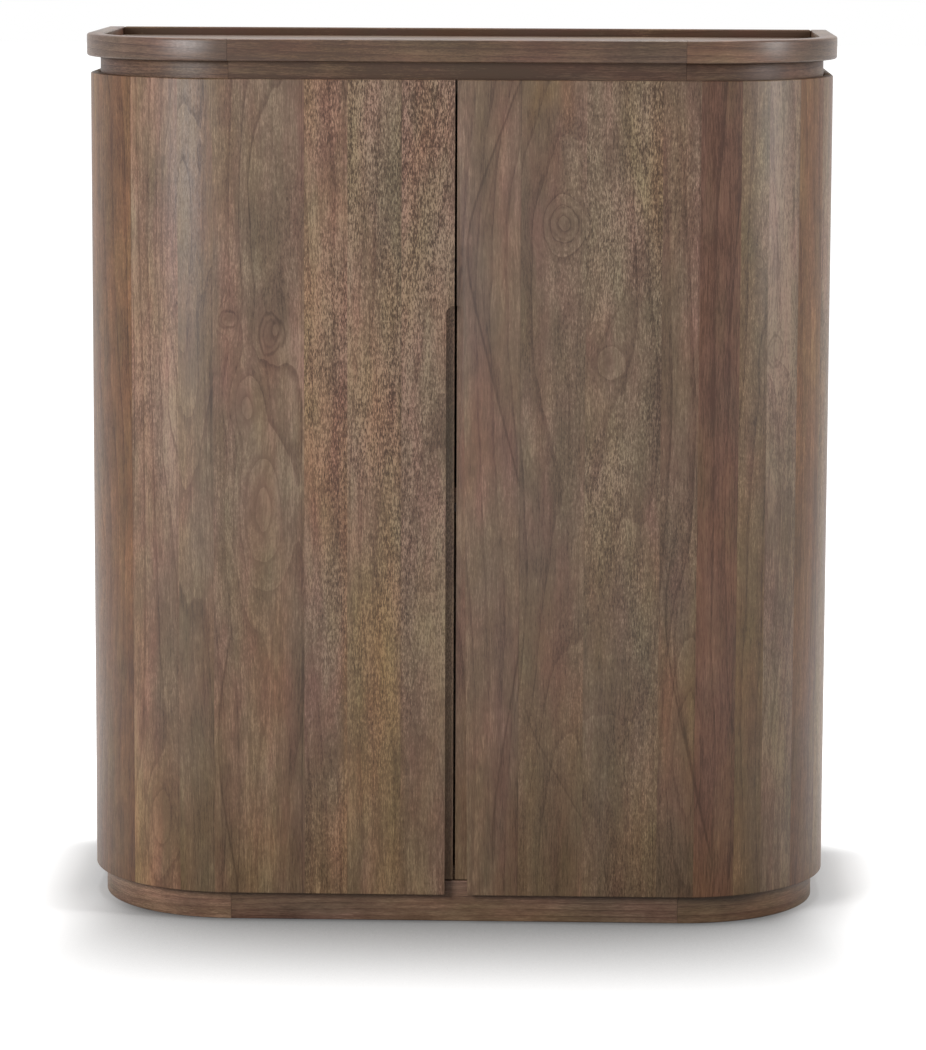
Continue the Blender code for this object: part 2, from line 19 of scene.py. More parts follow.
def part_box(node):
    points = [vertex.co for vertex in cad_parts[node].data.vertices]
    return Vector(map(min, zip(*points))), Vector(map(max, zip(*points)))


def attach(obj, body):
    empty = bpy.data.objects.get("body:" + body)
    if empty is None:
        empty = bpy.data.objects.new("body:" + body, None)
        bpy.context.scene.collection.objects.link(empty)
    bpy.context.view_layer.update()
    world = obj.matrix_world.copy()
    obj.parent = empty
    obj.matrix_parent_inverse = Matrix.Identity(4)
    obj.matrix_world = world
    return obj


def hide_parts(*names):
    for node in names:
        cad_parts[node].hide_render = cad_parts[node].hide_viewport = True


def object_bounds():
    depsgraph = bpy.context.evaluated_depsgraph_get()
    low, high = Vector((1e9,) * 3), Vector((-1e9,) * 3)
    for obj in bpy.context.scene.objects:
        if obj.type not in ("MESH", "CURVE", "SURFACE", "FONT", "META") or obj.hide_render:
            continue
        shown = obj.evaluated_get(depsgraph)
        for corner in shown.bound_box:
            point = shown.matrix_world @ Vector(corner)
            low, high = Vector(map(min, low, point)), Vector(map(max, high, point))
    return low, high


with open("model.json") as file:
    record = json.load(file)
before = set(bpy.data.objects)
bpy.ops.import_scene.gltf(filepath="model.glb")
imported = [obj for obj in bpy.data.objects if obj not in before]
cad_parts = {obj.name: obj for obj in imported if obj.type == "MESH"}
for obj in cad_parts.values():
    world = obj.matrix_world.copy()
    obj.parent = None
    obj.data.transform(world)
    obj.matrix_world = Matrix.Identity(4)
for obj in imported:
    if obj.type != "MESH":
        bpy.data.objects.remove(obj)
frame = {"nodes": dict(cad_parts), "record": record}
cad_low, cad_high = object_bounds()
print("cabinet box:", tuple(round(v, 4) for v in cad_low), tuple(round(v, 4) for v in cad_high))

# %% [markdown]
# ## The camera
#
# The photograph looks a little down on the cabinet from just right of its middle. Its top
# and foot keep the same width, which a real camera does with a shifted lens. Here the lens
# is shifted a little, and the camera is tilted for the rest.

# %% Place the camera
PHOTO_WIDTH = 926
PHOTO_HEIGHT = 1050
SENSOR = 36.0
CAMERA_X = 0.17329
CAMERA_BACK = 5.25068
CAMERA_Z = 1.35989
FOCAL_PIXELS = 4075.59
CAMERA_PITCH = 0.13012
CAMERA_YAW = 0.03104
CAMERA_ROLL = 0.00389
SHIFT_X = 0.0
SHIFT_Y = -0.10


def aim_camera():
    """Make the camera, and turn it by pitch, yaw and roll from a level look along +Y."""
    data = bpy.data.cameras.new("camera")
    data.sensor_fit = "AUTO"
    data.sensor_width = SENSOR
    data.lens = FOCAL_PIXELS / PHOTO_HEIGHT * SENSOR
    data.shift_x = SHIFT_X
    data.shift_y = SHIFT_Y
    data.clip_end = 100
    camera = bpy.data.objects.new("camera", data)
    bpy.context.scene.collection.objects.link(camera)
    level = Matrix.Rotation(math.pi / 2, 4, "X")
    tilt = Matrix.Rotation(-CAMERA_PITCH, 4, "X")
    turn = Matrix.Rotation(CAMERA_YAW, 4, "Z")
    lean = Matrix.Rotation(CAMERA_ROLL, 4, "Z")
    spot = Matrix.Translation((CAMERA_X, cad_low.y - CAMERA_BACK, CAMERA_Z))
    camera.matrix_world = spot @ turn @ tilt @ level @ lean
    bpy.context.scene.camera = camera
    return camera


camera = aim_camera()
spot = camera.matrix_world.translation
print("camera:", tuple(round(v, 3) for v in spot), "lens", round(camera.data.lens, 1))

# %% [markdown]
# ## Measures of the cabinet
#
# The wood's figure follows the plan of the cabinet, so the plan's sizes are read from the
# frame's boxes: where the front lies, where the corners start to turn, and their radius.

# %% Read the measures
corner_low, corner_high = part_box("right_rim_corner_block")
FRONT_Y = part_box("rim_front_rail")[0].y
CORNER_X = corner_low.x
CORNER_Y = corner_high.y
CORNER_RADIUS = corner_high.x - corner_low.x
print("corner starts at", round(CORNER_X, 4), round(CORNER_Y, 4), "radius", round(CORNER_RADIUS, 4))

# %% [markdown]
# ## Straightened coordinates
#
# Wood is a solid with a direction. Each piece carries a `grain` attribute of three
# distances in metres: across the board, into it, and along it. Round the corners, across
# and along follow the curve, so the staves of a door stay upright and the rails of the rim
# keep their grain along the rim.

# %% Coordinates that follow the plan
def plan_station(x, y):
    """Distance along the D-shaped plan from the middle of the front, and depth from its line."""
    side = 1 if x >= 0 else -1
    reach = abs(x)
    if y > CORNER_Y:
        if CORNER_X < reach:
            station = CORNER_X + CORNER_RADIUS * math.pi / 2 + (y - CORNER_Y)
            return side * station, CORNER_X + CORNER_RADIUS - reach
        return x, y - FRONT_Y
    if reach <= CORNER_X:
        return x, y - FRONT_Y
    across = reach - CORNER_X
    forward = CORNER_Y - y
    turn = math.atan2(across, forward)
    return side * (CORNER_X + CORNER_RADIUS * turn), CORNER_RADIUS - math.hypot(across, forward)


def upright(point):
    """Vertical grain that follows the plan: doors and side panels."""
    station, depth = plan_station(point.x, point.y)
    return station, depth, point.z


def round_the_plan(point):
    """Grain along the plan line: rim, neck and plinth."""
    station, depth = plan_station(point.x, point.y)
    return point.z, depth, station


def lengthwise(point):
    """Grain along X: boards, shelves and back rails."""
    return point.y, point.z, point.x


def front_to_back(point):
    """Grain along Y: stemware rails and cleats."""
    return point.x, point.z, point.y


def plain_upright(point):
    """Vertical grain of a flat board: divider and back panel."""
    return point.x + point.y, point.x - point.y, point.z


print("plan station at the corner:", tuple(round(v, 3) for v in plan_station(CORNER_X, FRONT_Y)))

# %% [markdown]
# ## Soft edges
#
# A joiner breaks every sharp edge with sandpaper. Each wooden piece is a copy of its CAD node, made
# of merged faces, with its edges bevelled. The bevel's faces carry an `arris` value, which the
# finish reads to make them paler: partly stain rubbed back, partly a painted highlight along the
# edge. The copy replaces the node.

# %% Copy a node with soft edges
SHARP = math.radians(36)
SMOOTH = math.radians(34)
NEARLY_FLAT = math.radians(0.4)
WELD_REACH = 0.00001


def merged_copy(node):
    """A bmesh of a CAD node, welded and with its flat triangles joined."""
    bm = bmesh.new()
    bm.from_mesh(frame["nodes"][node].data)
    bmesh.ops.remove_doubles(bm, verts=bm.verts, dist=WELD_REACH)
    bmesh.ops.dissolve_limit(bm, angle_limit=NEARLY_FLAT, verts=bm.verts, edges=bm.edges)
    return bm


def sharp_edges(bm, keep=None):
    """The edges where two faces meet at an angle, apart from those that keep refuses."""
    found = []
    for edge in bm.edges:
        if len(edge.link_faces) == 2 and edge.calc_face_angle(0) > SHARP:
            if keep is None or keep(edge):
                found.append(edge)
    return found


def bevel_edges(bm, edges, width, segments=2):
    """Round the edges, and mark the faces that this makes as the arris."""
    arris = bm.faces.layers.float.get("arris") or bm.faces.layers.float.new("arris")
    made = bmesh.ops.bevel(
        bm, geom=edges, offset=width, offset_type="OFFSET", segments=segments,
        profile=0.5, affect="EDGES", clamp_overlap=True, material=-1)
    for face in made["faces"]:
        face[arris] = 1.0


# %% [markdown]
# The finished bmesh becomes an object at the origin. It rides on the body of its node, and the node
# itself is hidden.

# %% Turn a bmesh into a piece
def body_of(node):
    """The body that a node belongs to."""
    for body, members in frame["record"]["behaviour"]["bodies"].items():
        if node in members:
            return body
    return None


def slot_of(node):
    """The record's material slot of a node."""
    for row in frame["record"]["subparts"]:
        if row["node"] == node:
            return row["material_slot"]
    return None


def store_on_points(mesh, name, kind, key, values):
    """Keep a value for each point of a mesh, for its material to read."""
    mesh.attributes.new(name, kind, "POINT").data.foreach_set(key, values)


def finish_mesh(node, suffix, bm, material):
    """Turn a bmesh into a smooth-shaded piece that replaces a node."""
    mesh = bpy.data.meshes.new(node + suffix)
    bm.to_mesh(mesh)
    bm.free()
    mesh.shade_smooth()
    mesh.set_sharp_from_angle(angle=SMOOTH)
    mesh.materials.append(material)
    piece = bpy.data.objects.new(node + suffix, mesh)
    bpy.context.scene.collection.objects.link(piece)
    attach(piece, body_of(node))
    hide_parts(node)
    return piece


print("right_door:", body_of("right_door"), slot_of("right_door"))

# %% [markdown]
# ## Shader sums
#
# A wood finish is mostly arithmetic on coordinates. One small class wraps a shader socket,
# so that a sum written in Python becomes Math nodes, and one method adds any other node.

# %% A socket that does sums
class Wire:
    """A float socket in a node tree; + - * / on it add Math nodes."""

    def __init__(self, nodes, socket):
        self.nodes = nodes
        self.socket = socket

    def sum(self, operation, *values):
        """A Math node on the values, in their order."""
        return self.nodes.add(
            "ShaderNodeMath", {"operation": operation}, dict(enumerate(values)))[0]

    def then(self, operation, *others):
        """A Math node on this wire and the others."""
        return self.sum(operation, self, *others)

    def __add__(self, other):
        return self.sum("ADD", self, other)

    def __radd__(self, other):
        return self.sum("ADD", other, self)

    def __sub__(self, other):
        return self.sum("SUBTRACT", self, other)

    def __rsub__(self, other):
        return self.sum("SUBTRACT", other, self)

    def __mul__(self, other):
        return self.sum("MULTIPLY", self, other)

    def __rmul__(self, other):
        return self.sum("MULTIPLY", other, self)

    def __truediv__(self, other):
        return self.sum("DIVIDE", self, other)

    def clamp(self):
        """This wire, held between 0 and 1."""
        made = self.then("ADD", 0.0)
        made.socket.node.use_clamp = True
        return made

    def between(self, low, high):
        """0 at low and 1 at high, smooth between them."""
        return self.nodes.add(
            "ShaderNodeMapRange", {"interpolation_type": "SMOOTHSTEP"},
            {"Value": self, "From Min": low, "From Max": high})["Result"]


class Nodes:
    """A node tree that is built up node by node."""

    def __init__(self, tree):
        self.tree = tree

    def feed(self, slot, value):
        """Link a wire to a socket, or set the socket's own value."""
        if isinstance(value, Wire):
            self.tree.links.new(value.socket, slot)
        else:
            slot.default_value = value

    def add(self, kind, settings, values):
        """Add a node, and return its outputs by name and by number, as wires."""
        node = self.tree.nodes.new(kind)
        for key, value in settings.items():
            if key == "stops":
                set_stops(node.color_ramp, value)
            else:
                setattr(node, key, value)
        for key, value in values.items():
            self.feed(node.inputs[key], value)
        outputs = {out.name: Wire(self, out) for out in node.outputs}
        for number, out in enumerate(node.outputs):
            outputs[number] = Wire(self, out)
        return outputs

    def split(self, vector):
        """The three parts of a vector."""
        parts = self.add("ShaderNodeSeparateXYZ", {}, {"Vector": vector})
        return parts["X"], parts["Y"], parts["Z"]

    def join(self, x, y, z):
        """A vector made of three numbers."""
        return self.add("ShaderNodeCombineXYZ", {}, {"X": x, "Y": y, "Z": z})["Vector"]

    def noise(self, vector, detail=2.0, roughness=0.5, distortion=0.0):
        """Cloudy noise from 0 to 1, one cell to each unit of the vector."""
        return self.add(
            "ShaderNodeTexNoise", {"noise_dimensions": "3D"},
            {"Vector": vector, "Scale": 1.0, "Detail": detail, "Roughness": roughness,
             "Distortion": distortion})[0]

    def mix(self, factor, first, second, blend="MIX"):
        """Blend two colours. A Mix node keeps its colours in sockets 6 and 7."""
        return self.add(
            "ShaderNodeMix", {"data_type": "RGBA", "blend_type": blend, "clamp_factor": True},
            {0: factor, 6: first, 7: second})[2]


def set_stops(ramp, stops):
    """Give a colour ramp the (position, colour) stops, each held up to the next one."""
    ramp.interpolation = "CONSTANT"
    for index, (position, colour) in enumerate(stops):
        stop = ramp.elements[0] if index == 0 else ramp.elements.new(position)
        stop.position = position
        stop.color = colour
    ramp.elements.remove(ramp.elements[-1])


class Finish(Nodes):
    """A material with a Principled shader."""

    def __init__(self, name):
        self.material = bpy.data.materials.new(name)
        self.material.use_nodes = True
        super().__init__(self.material.node_tree)
        self.shader = self.tree.nodes["Principled BSDF"]

    def out(self, name, value):
        """Feed a socket of the shader."""
        self.feed(self.shader.inputs[name], value)

    def relief(self, height, strength, distance):
        """Feed the shader's normal from a height."""
        self.out("Normal", self.add(
            "ShaderNodeBump", {},
            {"Strength": strength, "Distance": distance, "Height": height})["Normal"])


def tint(red, green, blue):
    """A linear colour from screen values of 0 to 255."""
    def linear(value):
        share = value / 255
        return share / 12.92 if share <= 0.04045 else ((share + 0.055) / 1.055) ** 2.4
    return linear(red), linear(green), linear(blue), 1.0


print("mid brown as linear:", tuple(round(v, 3) for v in tint(122, 101, 86)))

# %% [markdown]
# ## Grey-brown wood
#
# The cabinet is glued up from staves of a pale hardwood, stained grey-brown under a satin finish.
# One ramp from dark to light gives the tone. Three tints, multiplied in, lean it to olive, to pink
# or to ochre, and three more draw growth lines, glue lines and pale edges, which are worn stain and
# a painted highlight in one.

# %% Colours of the wood
DARK = tint(70, 52, 41)
MIDDLE = tint(115, 93, 77)
LIGHT = tint(165, 140, 119)
OLIVE = (0.91, 1.02, 0.95, 1.0)
PINK = (1.13, 0.94, 1.03, 1.0)
OCHRE = (1.10, 0.99, 0.66, 1.0)
GROWTH = (0.42, 0.36, 0.33, 1.0)
GLUE = (0.45, 0.40, 0.37, 1.0)
WORN_AND_SHEEN = (1.35, 1.33, 1.30, 1.0)
print("dark, middle and light:", [tuple(round(v, 3) for v in c[:3]) for c in (DARK, MIDDLE, LIGHT)])

# %% [markdown]
# ## The staves
#
# Each stave of the doors has a tone and a hue of its own, as in the photograph, so the doors
# have a table. It runs round the corners and along the side panels too. The boards inside
# only need some staves, so they get random ones from a Voronoi texture.

# %% The doors' staves
# Each row is the station where a stave starts, then its tone, its hue from olive to pink,
# how ochre it is and how strongly its pores show.
DOOR_STAVES = (
    (-0.900, 0.52, 0.40, 0.30, 0.5),
    (-0.790, 0.44, 0.70, 0.20, 0.7),
    (-0.722, 0.55, 0.30, 0.25, 0.4),
    (-0.655, 0.47, 0.55, 0.45, 0.6),
    (-0.585, 0.34, 0.90, 1.20, 0.3),
    (-0.517, 0.33, 0.92, 1.40, 0.2),
    (-0.443, 0.60, 0.70, 0.30, 0.4),
    (-0.368, 0.54, 0.35, 0.10, 0.2),
    (-0.318, 0.49, 0.55, 0.22, 0.3),
    (-0.200, 0.57, 0.58, 0.30, 0.9),
    (-0.145, 0.60, 0.30, 0.22, 1.0),
    (-0.071, 0.59, 0.48, 0.10, 1.0),
    (0.000, 0.45, 0.52, 0.16, 0.15),
    (0.084, 0.46, 0.42, 0.16, 0.45),
    (0.162, 0.50, 0.33, 0.10, 0.75),
    (0.262, 0.43, 0.45, 0.12, 0.4),
    (0.315, 0.28, 1.00, 0.40, 0.1),
    (0.368, 0.43, 0.30, 0.50, 0.3),
    (0.411, 0.64, 0.42, 0.02, 0.3),
    (0.470, 0.36, 0.85, 1.20, 0.2),
    (0.530, 0.45, 0.50, 0.40, 0.5),
    (0.600, 0.54, 0.35, 0.20, 0.6),
    (0.668, 0.45, 0.65, 0.35, 0.3),
    (0.742, 0.52, 0.40, 0.45, 0.7),
    (0.812, 0.47, 0.60, 0.15, 0.4),
)
STAVE_SPAN = -2 * DOOR_STAVES[0][0]


def door_stave(finish, across, colours):
    """The red, green, blue and alpha that each door stave holds."""
    starts = [(row[0] + STAVE_SPAN / 2) / STAVE_SPAN for row in DOOR_STAVES]
    ramp = finish.add(
        "ShaderNodeValToRGB", {"stops": list(zip(starts, colours))},
        {0: across / STAVE_SPAN + 0.5})
    pick = finish.add("ShaderNodeSeparateColor", {}, {"Color": ramp["Color"]})
    return pick["Red"], pick["Green"], pick["Blue"], ramp["Alpha"]


print("door staves:", len(DOOR_STAVES), "over", STAVE_SPAN, "m")

# %% The staves of a board
BOARD_STAVE = 0.078
STAVE_UNEVEN = 0.6


def board_texture(finish, across, feature):
    """A Voronoi texture whose cells are a board's staves."""
    return finish.add(
        "ShaderNodeTexVoronoi", {"voronoi_dimensions": "1D", "feature": feature},
        {"W": across / BOARD_STAVE, "Scale": 1.0, "Randomness": STAVE_UNEVEN})


def board_stave(finish, across):
    """The tone, hue, warmth and pore strength of a board's stave."""
    cell = board_texture(finish, across, "F1")["Color"]
    pick = finish.add("ShaderNodeSeparateColor", {}, {"Color": cell})
    red, green, blue = pick["Red"], pick["Green"], pick["Blue"]
    return red * 0.26 + 0.37, green * 0.6 + 0.2, blue * 0.5, blue * 0.7 + 0.2


def glue_lines(finish, across, kind):
    """1 on the thin lines where two staves meet."""
    if kind == "board":
        edge = board_texture(finish, across, "DISTANCE_TO_EDGE")["Distance"]
        return 1.0 - edge.between(0.004, 0.012)
    nearest = (across - DOOR_STAVES[1][0]).then("ABSOLUTE")
    for row in DOOR_STAVES[2:]:
        nearest = nearest.then("MINIMUM", (across - row[0]).then("ABSOLUTE"))
    return 1.0 - nearest.between(0.0003, 0.0010)


print("board staves are about", BOARD_STAVE, "m wide")

# %% [markdown]
# ## Knots and flames
#
# Growth lines are the contours of a field that rises across the board. A hump in the field
# bends them into rings: a small one makes a knot, and a long one makes the flame shapes of
# flat-sawn wood. A knot also has a dark eye and outline, and turns the fibre aside.

# %% Knots and flames
# Each row is a knot: its station and height, its half width, its length over its width,
# how many growth lines it raises, how dark its eye is and how dark its outline is.
DOOR_KNOTS = (
    (-0.299, 0.798, 0.0095, 1.2, 1.6, 1.0, 0.8),
    (-0.239, 0.785, 0.0170, 1.6, 1.2, 0.05, 0.9),
    (-0.252, 0.545, 0.0230, 3.0, 3.4, 0.0, 0.0),
    (-0.276, 0.690, 0.0150, 2.0, 2.2, 0.3, 0.0),
    (-0.157, 0.228, 0.0075, 1.4, 0.8, 0.6, 0.0),
    (0.141, 0.927, 0.0190, 1.1, 2.6, 0.5, 0.6),
    (0.200, 0.750, 0.0120, 1.2, 1.0, 0.5, 0.3),
    (0.429, 0.758, 0.0150, 1.3, 0.8, 0.0, 0.6),
    (0.398, 0.880, 0.0060, 1.2, 0.8, 0.6, 0.0),
    (-0.395, 0.130, 0.0180, 2.4, 2.0, 0.0, 0.0),
    (0.700, 0.420, 0.0130, 1.4, 2.0, 0.5, 0.5),
    (-0.680, 0.760, 0.0150, 1.5, 2.0, 0.5, 0.5),
)

# Each row is a flame: its station and height, its half width, its length over its width
# and how many growth lines it raises.
DOOR_FLAMES = (
    (0.105, 0.890, 0.0500, 5.0, 3.0),
    (0.125, 0.110, 0.0450, 4.4, 3.0),
    (-0.250, 0.965, 0.0230, 5.5, 1.8),
    (-0.362, 0.900, 0.0190, 9.0, 3.4),
    (0.300, 0.240, 0.0200, 6.0, 2.6),
    (-0.045, 0.420, 0.0200, 8.0, 1.8),
)


def power(wire, exponent):
    """The wire raised to a whole power."""
    return wire.then("POWER", float(exponent))


def total(wires):
    """The sum of some wires."""
    return functools.reduce(operator.add, wires)


def knot_radius(across, along, row):
    """Squared distance from a knot or flame, 1 on its outline, drawn out along the grain."""
    station, height, size, stretch = row[:4]
    side = power((across - station) / size, 2)
    rise = power((along - height) / (size * stretch), 2)
    return side + rise


def hump(squared):
    """A bell that is 1 in the middle of a knot or flame."""
    return (squared * -0.5).then("EXPONENT")


def knot_marks(squared, row, wobble):
    """The dark eye of a knot, and the two uneven lines of its outline."""
    size, eye, outline = row[2], row[5], row[6]
    if not eye and not outline:
        return []
    radius = squared.then("SQRT") + (wobble - 0.5) * 0.9
    marks = []
    if eye:
        marks.append((1.0 - radius.between(0.12, 0.70)) * eye)
    if outline:
        outer = (radius - 1.0).then("ABSOLUTE") * size
        inner = (radius - 0.62).then("ABSOLUTE") * size
        marks.append((1.0 - outer.between(0.0004, 0.0026)) * outline)
        marks.append((1.0 - inner.between(0.0003, 0.0022)) * outline * 0.6)
    return marks


def knots_and_flames(across, along, wobble, ragged):
    """Their rise of the field, their dark marks, the fibre's bend, and where it is calm."""
    swell, dark, bend, calm = [], [], [], []
    uneven_across = across + (wobble - 0.5) * 0.010
    uneven_along = along + (ragged - 0.5) * 0.024
    for row in DOOR_KNOTS:
        squared = knot_radius(uneven_across, uneven_along, row)
        bell = hump(squared)
        swell.append(bell * row[4])
        calm.append(bell)
        bend.append((across - row[0]) * bell.then("POWER", 0.25) * -0.35)
        dark.extend(knot_marks(squared, row, wobble))
    loose_across = across + (ragged - 0.5) * 0.030
    loose_along = along + (wobble - 0.5) * 0.060
    for row in DOOR_FLAMES:
        bell = hump(knot_radius(loose_across, loose_along, row))
        swell.append(bell * row[4])
        calm.append(bell * 0.4)
    return total(swell), total(dark), total(bend), total(calm)


print("knots:", len(DOOR_KNOTS), "flames:", len(DOOR_FLAMES))

# %% [markdown]
# ## Long lines
#
# Some growth lines of the doors run for half a metre in one slow bend. Each is a hyperbola
# on its side: flat at its belly, then straight, with a soft shade on its hollow side.

# %% Long lines
# Each row is a long dark line: the station and height of its belly, how tightly it bends
# there, its bow, its lean, the heights where it ends and its strength.
DOOR_LINES = (
    (0.0150, 0.904, 0.050, 0.0165, 0.064, 0.560, 1.160, 1.15),
    (0.0330, 0.880, 0.070, 0.0150, 0.020, 0.660, 1.060, 0.45),
    (0.0500, 0.100, 0.080, 0.0142, 0.000, 0.060, 0.400, 0.70),
    (0.0930, 0.300, 0.040, 0.0250, 0.000, 0.110, 0.330, 0.60),
    (0.2760, 0.420, 0.080, 0.0200, 0.000, 0.080, 0.530, 0.85),
    (0.2880, 0.380, 0.080, 0.0190, 0.000, 0.060, 0.460, 0.60),
    (0.2590, 0.950, 0.040, -0.0200, 0.000, 0.740, 1.100, 0.60),
    (0.1490, 0.660, 0.100, -0.0100, 0.000, 0.540, 0.770, 0.55),
    (-0.3115, 0.240, 0.080, 0.0166, 0.000, 0.030, 0.430, 0.80),
    (-0.3200, 0.680, 0.300, 0.0010, 0.000, 0.570, 0.780, 0.90),
    (-0.0735, 0.640, 0.300, 0.0010, 0.004, 0.520, 0.780, 0.70),
    (-0.3300, 0.900, 0.150, 0.0060, 0.010, 0.500, 1.120, 0.50),
)
LINE_FADE = 0.06


def long_lines(across, along, wobble):
    """The long bent growth lines."""
    dark = []
    for station, height, tight, bow, lean, low, high, strength in DOOR_LINES:
        rise = along - height
        curve = (power(rise / tight, 2) + 1.0).then("SQRT") - 1.0
        off = across - station - rise * lean - curve * bow + (wobble - 0.5) * 0.0022
        thin = 1.0 - off.then("ABSOLUTE").between(0.0003, 0.0024)
        inward = off * (1.0 if bow > 0 else -1.0)
        shade = (1.0 - inward.between(0.0, 0.013)) * inward.then("GREATER_THAN", 0.0)
        ends = 1.0 - along.between(high - LINE_FADE, high)
        span = along.between(low, low + LINE_FADE) * ends
        dark.append((thin + shade * 0.40) * span * strength)
    return total(dark)


print("long lines:", len(DOOR_LINES))

# %% [markdown]
# ## Patches
#
# Within a stave the colour still drifts, from olive to pink and back. Each patch is a soft
# bell that nearly fills its stave's width and fades out along it.

# %% Patches
# Each row is a patch of another colour: its station and height, its half width and half
# height, and what it adds to the tone, to the hue and to the ochre.
DOOR_PATCHES = (
    (-0.172, 1.060, 0.032, 0.150, -0.10, 0.34, 0.10),
    (-0.172, 0.930, 0.032, 0.040, -0.04, -0.34, -0.10),
    (-0.172, 0.620, 0.032, 0.140, 0.15, 0.16, 0.20),
    (-0.180, 0.320, 0.040, 0.150, -0.03, 0.02, -0.30),
    (-0.108, 0.660, 0.040, 0.180, 0.02, 0.26, 0.14),
    (-0.108, 0.250, 0.040, 0.190, 0.00, 0.10, 0.62),
    (-0.250, 0.960, 0.040, 0.120, -0.03, -0.24, -0.10),
    (-0.275, 0.820, 0.030, 0.060, 0.03, 0.20, 0.00),
    (-0.250, 0.640, 0.045, 0.120, -0.03, -0.20, -0.06),
    (-0.035, 1.060, 0.034, 0.060, -0.01, 0.24, 0.10),
    (-0.383, 0.380, 0.017, 0.110, -0.10, -0.30, -0.10),
    (0.040, 0.660, 0.040, 0.130, 0.00, 0.24, 0.10),
    (0.122, 1.085, 0.030, 0.035, 0.02, 0.10, 0.50),
    (0.122, 0.990, 0.034, 0.040, 0.00, 0.28, 0.10),
    (0.280, 1.010, 0.030, 0.140, -0.18, 0.20, 0.20),
    (0.210, 0.980, 0.045, 0.120, 0.07, -0.06, -0.04),
    (0.294, 0.250, 0.028, 0.130, 0.00, 0.20, 0.34),
    (0.130, 0.330, 0.030, 0.080, -0.02, 0.22, 0.00),
    (0.342, 0.560, 0.026, 0.070, -0.08, -0.10, 0.10),
    (-0.430, 0.090, 0.150, 0.110, -0.04, -0.10, 0.26),
    (-0.250, 0.060, 0.050, 0.070, -0.01, -0.08, 0.12),
    (0.210, 0.060, 0.110, 0.090, -0.03, -0.02, 0.16),
    # The next patch's darker tone is painted shade, set to damp the front lamp's highlight on the
    # upper left corner.
    (-0.343, 0.980, 0.025, 0.250, -0.22, 0.24, 0.75),
    (-0.300, 0.880, 0.020, 0.260, -0.03, 0.06, 0.12),
    (-0.222, 0.500, 0.023, 0.130, 0.15, 0.04, 0.00),
    (-0.045, 0.170, 0.034, 0.130, -0.07, 0.02, 0.04),
    (0.055, 0.090, 0.030, 0.090, -0.07, 0.02, 0.14),
    (0.124, 0.160, 0.036, 0.110, -0.07, 0.02, 0.14),
)


def colour_patches(across, along, ragged):
    """What the patches add to the tone, the hue and the ochre."""
    tone, hue, warm = [], [], []
    height_here = along + (ragged - 0.5) * 0.25
    for station, height, half_width, half_height, more_tone, more_hue, more_warm in DOOR_PATCHES:
        side = power((across - station) / half_width, 6)
        rise = power((height_here - height) / half_height, 2)
        patch = ((side + rise) * -1.0).then("EXPONENT")
        tone.append(patch * more_tone)
        hue.append(patch * more_hue)
        warm.append(patch * more_warm)
    return total(tone), total(hue), total(warm)


print("patches:", len(DOOR_PATCHES))

# %% [markdown]
# ## Noises
#
# Everything else in the wood is noise, stretched along the grain by as much as its row
# says: fibre and hair are thin and long, flecks are the short open pores, and patch, mottle,
# cloud and blush are the slow drifts of tone and hue.

# %% Noises of the wood
# Each row is a noise: its cells to a metre across and along the grain, how far it is moved
# across and along, then its detail, its roughness and its distortion.
NOISES = {
    "wobble": (70.0, 9.0, 0.0, 0.0, 2.0, 0.5, 0.0),
    "ragged": (22.0, 5.0, 0.0, 4.0, 2.0, 0.5, 0.0),
    "slow": (5.0, 0.9, 0.0, 0.0, 1.5, 0.4, 0.4),
    "where": (6.0, 1.6, 0.0, 7.0, 2.0, 0.5, 0.0),
    "streak": (150.0, 2.6, 0.0, 0.0, 3.0, 0.6, 0.0),
    "fibre": (420.0, 18.0, 0.0, 0.0, 2.0, 0.6, 0.0),
    "hair": (900.0, 70.0, 0.0, 0.0, 1.0, 0.5, 0.0),
    "fleck": (900.0, 225.0, 0.0, 0.0, 1.5, 0.6, 0.0),
    "open": (9.0, 3.2, 0.0, 1.0, 2.0, 0.5, 0.0),
    "ripple": (30.0, 120.0, 0.0, 0.0, 1.0, 0.5, 0.0),
    "patch": (11.0, 3.2, 0.0, 3.0, 3.0, 0.55, 0.0),
    "mottle": (26.0, 12.0, 0.0, 6.0, 3.0, 0.6, 0.6),
    "cloud": (12.0, 3.2, 5.0, 0.0, 3.0, 0.55, 0.0),
    "blush": (32.0, 7.0, 9.0, 2.0, 3.0, 0.55, 0.0),
}


def wood_noise(finish, name, place):
    """One of the noises at a place in the wood, given across, into and along the grain."""
    wide, long, move_across, move_along, detail, roughness, distortion = NOISES[name]
    across, depth, along = place[0] * wide, place[1] * wide, place[2] * long
    if move_across:
        across = across + move_across
    if move_along:
        along = along + move_along
    return finish.noise(finish.join(across, depth, along), detail, roughness, distortion)


print("noises:", len(NOISES))

# %% [markdown]
# ## The wood finish
#
# The finish adds all this up in three steps: the growth rings, the tone between dark and light, and
# the tints and marks on top. Roughness and relief follow the same flecks and lines. A door's foot is
# more ochre, with quieter rings, as in the photograph, and its tone is a little darker there as
# painted shade.

# %% Growth rings, pores and tone
RINGS_INTO_BOARD = 40.0
RING_DRIFT = 9.0
RING_WOBBLE = 0.18


def growth_rings(finish, place, pace, wobble, swell, pores):
    """The darkening late wood of each ring, and the crisp line that ends it."""
    drift = wood_noise(finish, "slow", place) * RING_DRIFT
    field = place[0] * pace + place[1] * RINGS_INTO_BOARD + drift + wobble * RING_WOBBLE
    ring = (field if swell is None else field + swell).then("FRACT")
    crisp = ring.between(0.80, 0.96) * (1.0 - ring.between(0.975, 1.0))
    shown = wood_noise(finish, "where", place).between(0.42, 0.60) * 0.85 + 0.15
    return power(ring, 3), crisp * shown * (1.15 - pores * 0.5)


